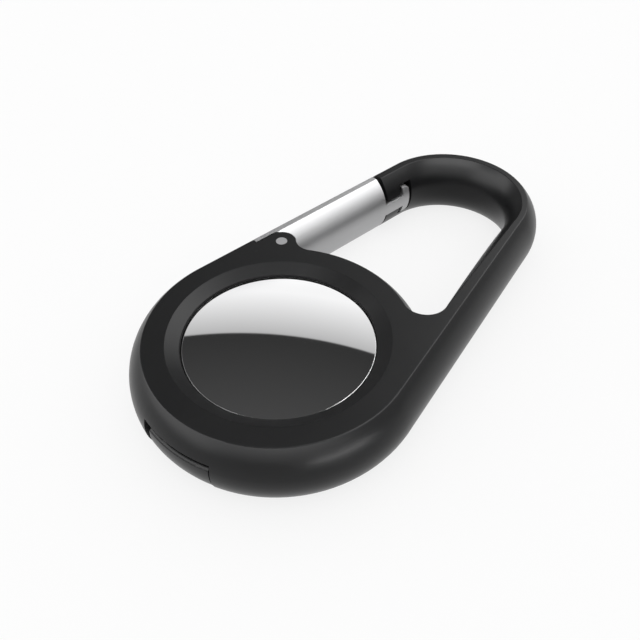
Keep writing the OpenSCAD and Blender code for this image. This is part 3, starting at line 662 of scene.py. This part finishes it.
class StageSettings(bpy.types.PropertyGroup):
    floor: colour_property("Floor", "Colour of the floor", (0.90, 0.90, 0.90))
    floor_size: FloatProperty(name="Floor size", description="Width of the floor", default=3.0,
                              min=0.5, max=20.0, unit="LENGTH")
    floor_lift: FloatProperty(name="White floor", description="How far the floor is lifted to plain white",
                              default=0.80, min=0.0, max=1.0)
    key_power: FloatProperty(name="Key light", description="Power of the soft light above", default=0.55,
                             min=0.0, max=20.0, unit="POWER")
    eye: FloatVectorProperty(name="Camera", description="Where the camera stands", subtype="TRANSLATION",
                             unit="LENGTH", size=3, default=(0.047735, -0.065772, 0.079840))
    azimuth: FloatProperty(name="Azimuth", description="The side that the camera looks from",
                           subtype="ANGLE", default=math.radians(40.24))
    elevation: FloatProperty(name="Elevation", description="The camera's height as an angle",
                             subtype="ANGLE", default=math.radians(44.82))
    sky_strength: FloatProperty(name="Sky", description="Strength of the even light from all round",
                                default=0.95, min=0.0, max=5.0)
    flag_foot: FloatProperty(name="Flag foot", description="Height in degrees at which the dark flag starts",
                             default=46.1, min=0.0, max=90.0)
    room_power: FloatProperty(name="Panels", description="Brightness of the soft boxes in reflections",
                              default=1.0, min=0.0, max=10.0)
    ceiling: FloatProperty(name="Ceiling", description="Brightness of the ceiling in reflections",
                           default=1.4, min=0.0, max=5.0)
    zenith: FloatProperty(name="Zenith", description="Brightness straight overhead in reflections",
                          default=0.55, min=0.0, max=5.0)
    flag_tilt: FloatProperty(name="Flag tilt", description="Rise of the flag's foot for each degree to the right",
                             default=0.127, min=-1.0, max=1.0)
    lens: FloatProperty(name="Lens", description="Focal length in millimetres on a 36 mm frame",
                        default=41.465, min=10.0, max=200.0)


# ------------------------------------------------------------------- operators

class TAGHOLDER_OT_body(bpy.types.Operator):
    """Give the moulded body and its back ring their satin black plastic"""

    bl_idname = "tagholder.body"
    bl_label = "Body and back ring"

    def execute(self, context):
        look = context.scene.holder_look
        black = satin_plastic("satin_black", look.plastic, look.plastic_roughness, look.grain, look.grain_depth)
        dress("body_frame", black)
        dress("back_ring", black)
        return {"FINISHED"}


class TAGHOLDER_OT_gate(bpy.types.Operator):
    """Give the gate, its pin and its spring their metals"""

    bl_idname = "tagholder.gate"
    bl_label = "Gate, pin and spring"

    def execute(self, context):
        look = context.scene.gate_look
        dress("gate", gate_metal("gate_satin", look.metal, look.metal_roughness))
        pin_x, pin_y = upright("gate_pin")
        dress("gate_pin", turned_steel("pin_steel", look.pin, pin_x, pin_y))
        low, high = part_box("gate_spring")
        wire = drawn_steel("spring_wire", look.spring)
        spring = torsion_spring(wire, (pin_x, pin_y), low.z, high.z, SPRING_WIRE)
        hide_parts("gate_spring")
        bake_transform(spring)
        return {"FINISHED"}


class TAGHOLDER_OT_tag(bpy.types.Operator):
    """Give the tag's shell and its steel door their finishes"""

    bl_idname = "tagholder.tag"
    bl_label = "Tag shell and door"

    def execute(self, context):
        look = context.scene.tag_look
        door = steel_door(polished_steel("door_mirror", look.door, look.door_roughness))
        outward(door)
        smooth_by_angle(door, 35.0)
        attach(door, "battery_door")
        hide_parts("battery_door")
        dress("tag_shell", gloss_shell("shell_white", look.shell, look.shell_roughness))
        return {"FINISHED"}


class TAGHOLDER_OT_inside(bpy.types.Operator):
    """Give the pieces inside the tag their finishes"""

    bl_idname = "tagholder.inside"
    bl_label = "Inside the tag"

    def execute(self, context):
        look = context.scene.tag_look
        dress("inner_frame", moulded("carrier_grey", (0.035, 0.035, 0.038)))
        dress("cell_can", drawn_steel("cell_nickel", (0.70, 0.70, 0.70)))
        dress("cell_cap", drawn_steel("cap_nickel", (0.64, 0.64, 0.65), roughness=0.34))
        dress("cell_gasket", moulded("gasket_blue_grey", (0.10, 0.12, 0.14), roughness=0.4))
        gold = drawn_steel("contact_gold", look.gold, roughness=0.24)
        for node in ("side_contacts", "centre_contact", "ranging_antenna", "short_range_antenna"):
            dress(node, gold)
        dress("circuit_board", board_mask("board_mask", look.board))
        black = moulded("package_black", (0.018, 0.018, 0.019), roughness=0.42, grain_mm=0.15)
        for node in ("radio_chip", "memory_chip", "accelerometer"):
            dress(node, black)
        can = drawn_steel("shield_can", (0.66, 0.66, 0.65))
        for node in ("ranging_module", "crystal", "sounder_magnet", "sounder_cup"):
            dress(node, can)
        dress("capacitors", moulded("capacitor_tan", (0.36, 0.24, 0.14), roughness=0.4))
        copper = wound_copper("winding_copper", look.copper)
        for name, node, *sizes in WINDINGS:
            piece = winding(copper, name, node, *sizes)
            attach(piece, "tag")
            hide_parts(node)
        return {"FINISHED"}


class TAGHOLDER_OT_stage(bpy.types.Operator):
    """Set out the floor, the light and the camera"""

    bl_idname = "tagholder.stage"
    bl_label = "Floor, light and camera"

    def execute(self, context):
        look = context.scene.stage_look
        self.floor(look)
        self.world(context, look)
        self.light(look)
        self.camera(context, look)
        return {"FINISHED"}

    def floor(self, look):
        half = 0.5 * look.floor_size
        mesh = bpy.data.meshes.new("floor")
        mesh.from_pydata([(-half, -half, 0.0), (half, -half, 0.0), (half, half, 0.0), (-half, half, 0.0)],
                         [], [(0, 1, 2, 3)])
        floor = bpy.data.objects.new("floor", mesh)
        bpy.context.scene.collection.objects.link(floor)
        floor.location.z = FLOOR_HEIGHT
        paint = Paint("floor_paper", roughness=0.9, specular_ior_level=0.1)
        place = paint.place()
        cloud = paint.noise(place, 60.0, detail=2.0)
        paint.feed("Base Color", paint.mix(cloud, rgba(look.floor, 0.995), rgba(look.floor, 1.0)))
        path = paint.tree.nodes.new("ShaderNodeLightPath").outputs
        seen = [Wire(paint, path[ray]) for ray in ("Is Camera Ray", "Is Glossy Ray", "Is Transmission Ray")]
        lift = ((seen[0] + seen[1] + seen[2]) * look.floor_lift).clamped()
        white = paint.node("ShaderNodeEmission", None, {"Color": (1.0, 1.0, 1.0, 1.0), "Strength": 1.0})
        paper = Wire(paint, paint.shader.outputs[0])
        both = paint.node("ShaderNodeMixShader", None, {0: lift, 1: paper, 2: white})
        # Seen from below, the floor is clear, so that the holder's underside shows
        below = paint.node("ShaderNodeNewGeometry", output="Backfacing")
        clear = paint.node("ShaderNodeBsdfTransparent")
        both = paint.node("ShaderNodeMixShader", None, {0: below, 1: both, 2: clear})
        paint.tree.links.new(both.socket, paint.tree.nodes["Material Output"].inputs["Surface"])
        mesh.materials.append(paint.material)

    def world(self, context, look):
        """Even white light, and for reflections a grey room with panels, a white wall and a dark flag before it."""
        world = bpy.data.worlds.new("studio")
        world.use_nodes = True
        context.scene.world = world
        sky = Sky(world)
        way = sky.axes(sky.node("ShaderNodeTexCoord", output="Generated"))
        # Where a ray goes, in degrees: up, and to the right of straight behind the object
        away = way[0] * -math.sin(look.azimuth) + way[1] * math.cos(look.azimuth)
        side = way[0] * math.cos(look.azimuth) + way[1] * math.sin(look.azimuth)
        height = sky.node("ShaderNodeMath", {"operation": "ARCSINE"}, {0: way[2]}) * (180.0 / math.pi)
        turn = sky.node("ShaderNodeMath", {"operation": "ARCTAN2"}, {0: side, 1: away}) * (180.0 / math.pi)
        # A grey room that is paler overhead, and the lit and dark panels that stand round the object in it
        room = self.shade(height, ROOM_SHADE).at_least(0.35).at_most(look.ceiling)
        room = room + (look.zenith - room) * height.step(*ZENITH_EDGE)
        for centre, half, low, high, blur, power in PANELS:
            off = (turn - centre).wrapped(-180.0, 180.0).magnitude()
            inside = ((1.0 - off.step(half - blur, half + blur)) * height.step(low - blur, low + blur)
                      * (1.0 - height.step(high - blur, high + blur)))
            room = room + (power * look.room_power - room) * inside
        # A white wall straight behind the object, greyer upwards, and the dark flag with its slanting foot before it
        above = height - (turn * look.flag_tilt + look.flag_foot)
        wall = self.shade(above, WALL_SHADE).at_most(1.0).at_least(0.30)
        in_wall = self.between(turn, WALL_SIDE) * height.step(*WALL_FOOT) * (1.0 - height.step(*WALL_TOP))
        flag = self.shade(above, FLAG_SHADE).at_least(0.0)
        in_flag = self.between(turn, FLAG_SIDE) * above.step(*FLAG_FOOT) * (1.0 - height.step(*FLAG_TOP))
        room = room + (wall - room) * in_wall
        seen = room + (flag - room) * in_flag
        glossy = sky.node("ShaderNodeLightPath", output="Is Glossy Ray")
        camera = sky.node("ShaderNodeLightPath", output="Is Camera Ray")
        even = look.sky_strength + (1.0 - look.sky_strength) * camera
        sky.light(even + (seen - even) * glossy)

    def shade(self, height, shade):
        """Brightness that changes evenly upwards."""
        return height * shade[1] + shade[0]

    def between(self, turn, side):
        """1 straight behind the object, and a smooth fall to 0 over the same edge to the left and to the right."""
        return 1.0 - (turn * turn).step(side[0] ** 2, side[1] ** 2)

    def light(self, look):
        lamp = bpy.data.lights.new("key", "AREA")
        lamp.shape = "DISK"
        lamp.size = KEY_SIZE
        lamp.energy = look.key_power
        key = bpy.data.objects.new("key", lamp)
        bpy.context.scene.collection.objects.link(key)
        key.location = KEY_PLACE
        key.rotation_euler = (-key.location).to_track_quat("-Z", "Y").to_euler()
        key.visible_glossy = False

    def camera(self, context, look):
        round_by, up_by = look.azimuth, look.elevation
        level = math.cos(up_by)
        back = Vector((math.sin(round_by) * level, -math.cos(round_by) * level, math.sin(up_by)))
        right = Vector((math.cos(round_by), math.sin(round_by), 0.0))
        up = back.cross(right)
        turn = Matrix((right, up, back)).transposed().to_4x4()
        data = bpy.data.cameras.new("camera")
        data.sensor_width = SENSOR_WIDTH
        data.lens = look.lens
        data.clip_start = 0.001
        data.clip_end = 50.0
        camera = bpy.data.objects.new("camera", data)
        bpy.context.scene.collection.objects.link(camera)
        camera.matrix_world = Matrix.Translation(look.eye) @ turn
        context.scene.camera = camera


class TAGHOLDER_PT_panel(bpy.types.Panel):
    """Lists the holder's pieces and their settings"""

    bl_label = "Tag holder"
    bl_idname = "TAGHOLDER_PT_panel"
    bl_space_type = "VIEW_3D"
    bl_region_type = "UI"
    bl_category = "Tag Holder"

    def draw(self, context):
        for operator, settings in STEPS:
            box = self.layout.box()
            box.operator(operator.bl_idname)
            if settings is not None:
                group = getattr(context.scene, settings)
                for key in group.__annotations__:
                    box.prop(group, key)


STEPS = (
    (TAGHOLDER_OT_body, "holder_look"),
    (TAGHOLDER_OT_gate, "gate_look"),
    (TAGHOLDER_OT_tag, "tag_look"),
    (TAGHOLDER_OT_inside, None),
    (TAGHOLDER_OT_stage, "stage_look"),
)
GROUPS = {
    "holder_look": HolderSettings,
    "gate_look": GateSettings,
    "tag_look": TagSettings,
    "stage_look": StageSettings,
}


def register():
    for group in GROUPS.values():
        bpy.utils.register_class(group)
    for operator, _ in STEPS:
        bpy.utils.register_class(operator)
    bpy.utils.register_class(TAGHOLDER_PT_panel)
    for name, group in GROUPS.items():
        setattr(bpy.types.Scene, name, PointerProperty(type=group))


def unregister():
    for name in GROUPS:
        delattr(bpy.types.Scene, name)
    bpy.utils.unregister_class(TAGHOLDER_PT_panel)
    for operator, _ in STEPS:
        bpy.utils.unregister_class(operator)
    for group in GROUPS.values():
        bpy.utils.unregister_class(group)


def main():
    register()
    scene = bpy.context.scene
    scene.view_settings.view_transform = "Standard"
    for operator, _ in STEPS:
        getattr(bpy.ops.tagholder, operator.bl_idname.split(".")[1])()


if __name__ == "__main__":
    main()
